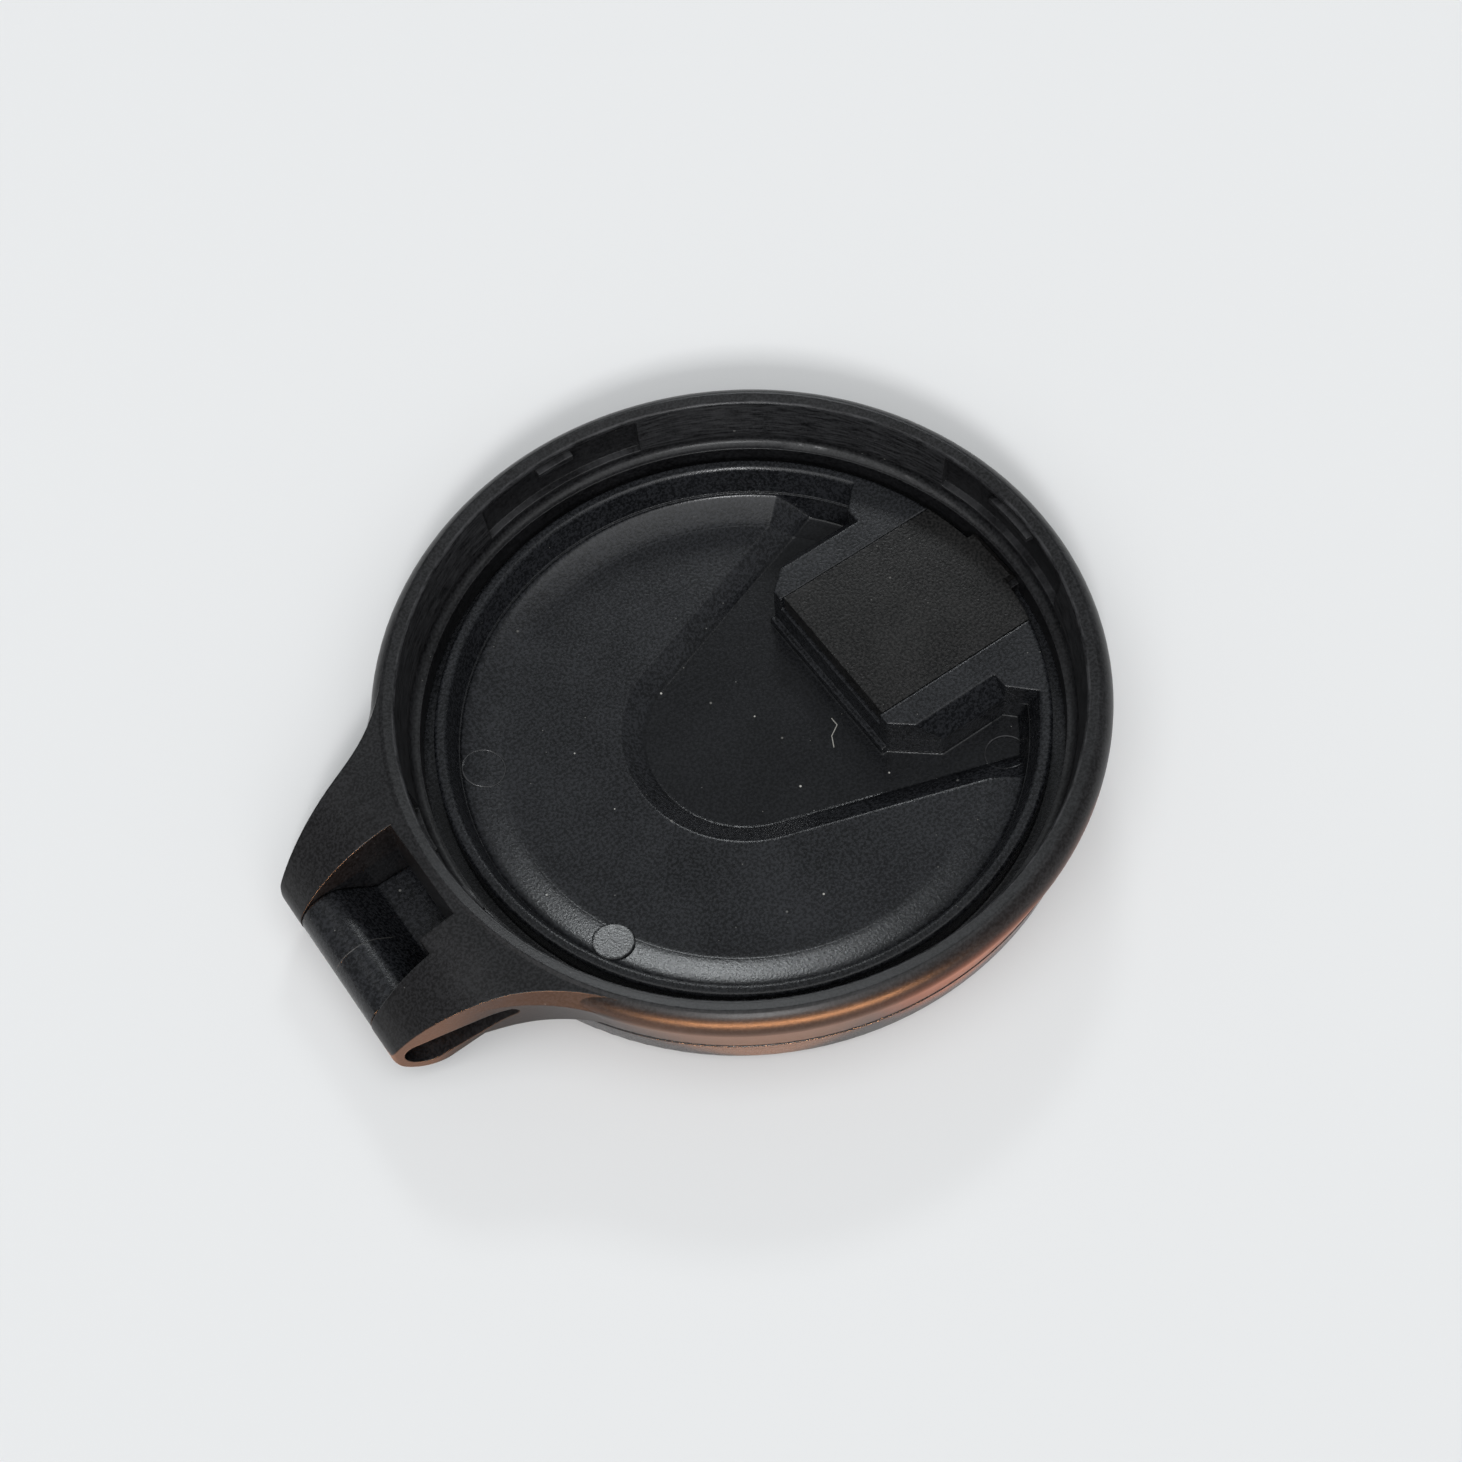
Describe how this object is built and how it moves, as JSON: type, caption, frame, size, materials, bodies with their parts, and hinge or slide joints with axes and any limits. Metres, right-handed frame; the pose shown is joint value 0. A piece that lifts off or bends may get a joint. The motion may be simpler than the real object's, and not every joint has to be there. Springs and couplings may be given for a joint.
{
  "type": "flip-up lens cap",
  "caption": "Round flip-up lens cap: a ring that snaps onto the lens, and a hinged front door held shut by a sliding spring latch.",
  "frame": {"origin": "on the ring axis, at the ledge that the lens barrel stops against", "axes": "+Z along the ring axis toward the lens, +X toward the latch, hinge pin along Y on the -X side"},
  "size_m": [0.0707, 0.0614, 0.0112],
  "materials": {
    "ring_plastic": "satin black",
    "door_plastic": "fine grained black",
    "latch_plastic": "fine grained black",
    "spring_steel": "bright drawn wire"
  },
  "bodies": {
    "ring": {"mount_ring": "ring_plastic", "hinge_pin": "spring_steel", "hinge_spring": "spring_steel"},
    "door": {"flip_door": "door_plastic", "latch_spring": "spring_steel"},
    "latch": {"latch_slider": "latch_plastic", "latch_button": "latch_plastic"}
  },
  "joints": [
    {"name": "door_hinge", "type": "hinge", "parent": "ring", "child": "door", "pos_m": [-0.03747, 0, -0.0015], "axis": [0, 1, 0], "range_deg": [0, 170], "deforming": ["hinge_spring"]},
    {"name": "latch_slide", "type": "slide", "parent": "door", "child": "latch", "axis": [-1, 0, 0], "range_m": [0, 0.0015], "stiffness_N_per_m": 60, "springref_m": -0.001, "deforming": ["latch_spring"]}
  ]
}
